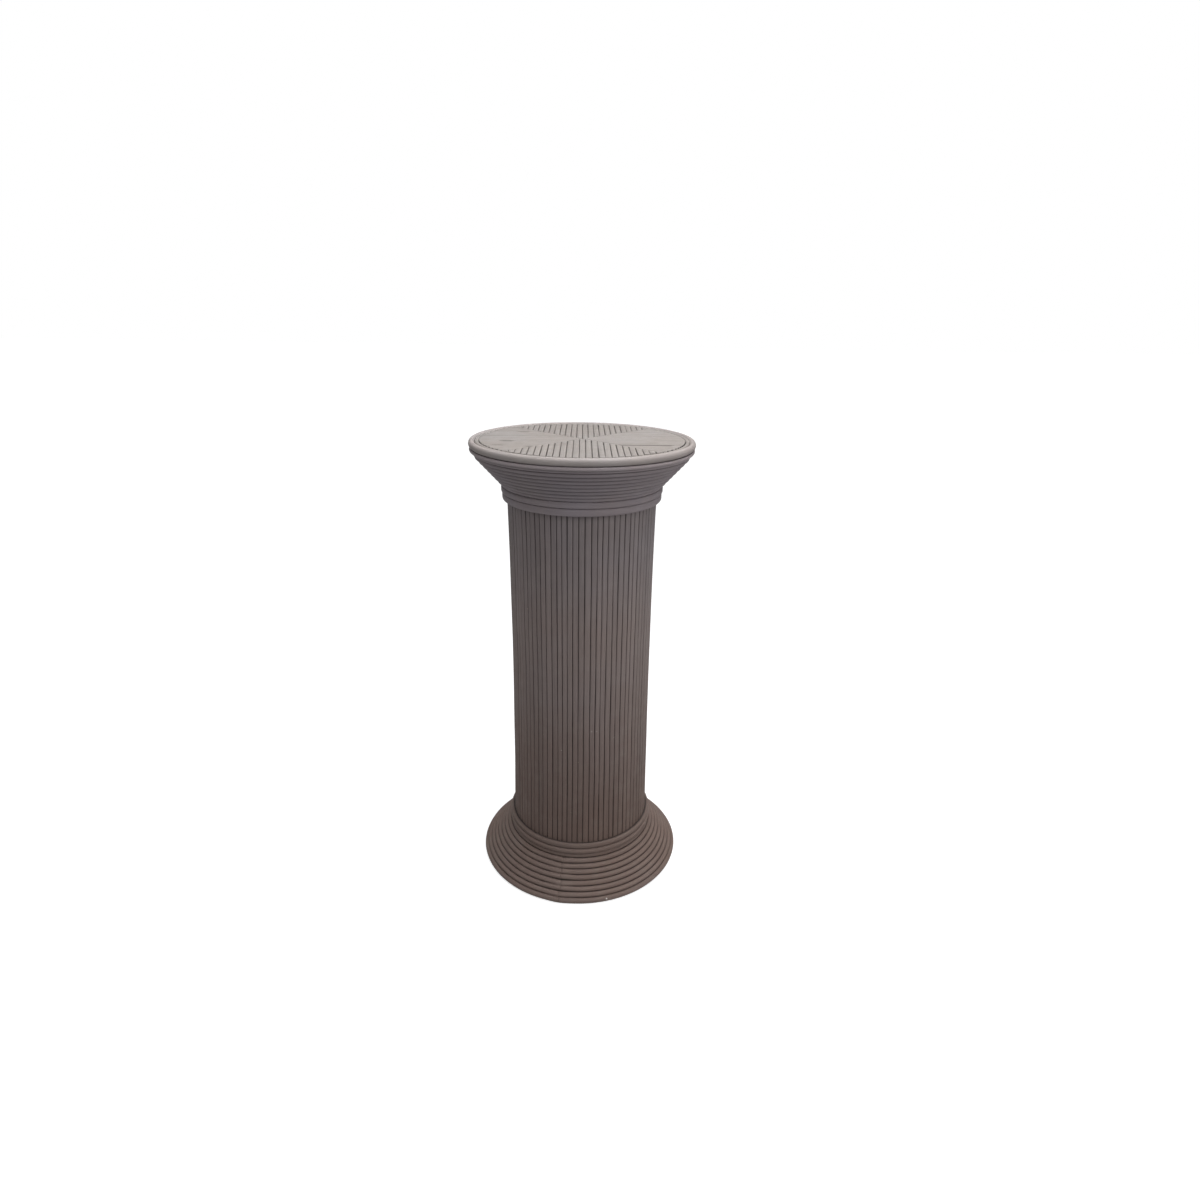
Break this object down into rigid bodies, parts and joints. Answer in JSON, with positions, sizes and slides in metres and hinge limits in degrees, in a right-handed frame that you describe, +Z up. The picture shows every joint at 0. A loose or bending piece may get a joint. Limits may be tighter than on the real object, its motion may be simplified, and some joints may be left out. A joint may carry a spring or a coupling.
{
  "type": "rattan column",
  "caption": "Painted rattan column pedestal: round shaft of upright reeds, flared base and capital of stacked reed rings, round top of mitred reed fields.",
  "frame": {"origin": "middle of the underside, where the column stands on the floor", "axes": "+Z up along the column's axis; the front faces -Y, and +X is to the right seen from the front"},
  "size_m": [0.3828, 0.3828, 0.811],
  "materials": {
    "shaft_paint": "matte grey-taupe paint on upright rattan reeds",
    "ring_paint": "matte grey-taupe paint on bent rattan reeds",
    "top_paint": "matte grey-taupe paint on flat-laid rattan reeds, a little worn"
  },
  "bodies": {
    "root": {"shaft": "shaft_paint", "base_neck_ring_1": "ring_paint", "base_neck_ring_2": "ring_paint", "base_ring_1": "ring_paint", "base_ring_2": "ring_paint", "base_ring_3": "ring_paint", "base_ring_4": "ring_paint", "base_ring_5": "ring_paint", "base_ring_6": "ring_paint", "base_ring_7": "ring_paint", "base_ring_8": "ring_paint", "base_ring_9": "ring_paint", "capital_neck_ring_1": "ring_paint", "capital_neck_ring_2": "ring_paint", "capital_ring_1": "ring_paint", "capital_ring_2": "ring_paint", "capital_ring_3": "ring_paint", "capital_ring_4": "ring_paint", "capital_ring_5": "ring_paint", "capital_ring_6": "ring_paint", "capital_ring_7": "ring_paint", "capital_ring_8": "ring_paint", "capital_closing_ring": "ring_paint", "capital_collar_ring": "ring_paint", "top_rim_ring": "top_paint", "top_border_ring": "top_paint", "top_reeds_front": "top_paint", "top_reeds_back": "top_paint", "top_reeds_left": "top_paint", "top_reeds_right": "top_paint"}
  },
  "joints": []
}
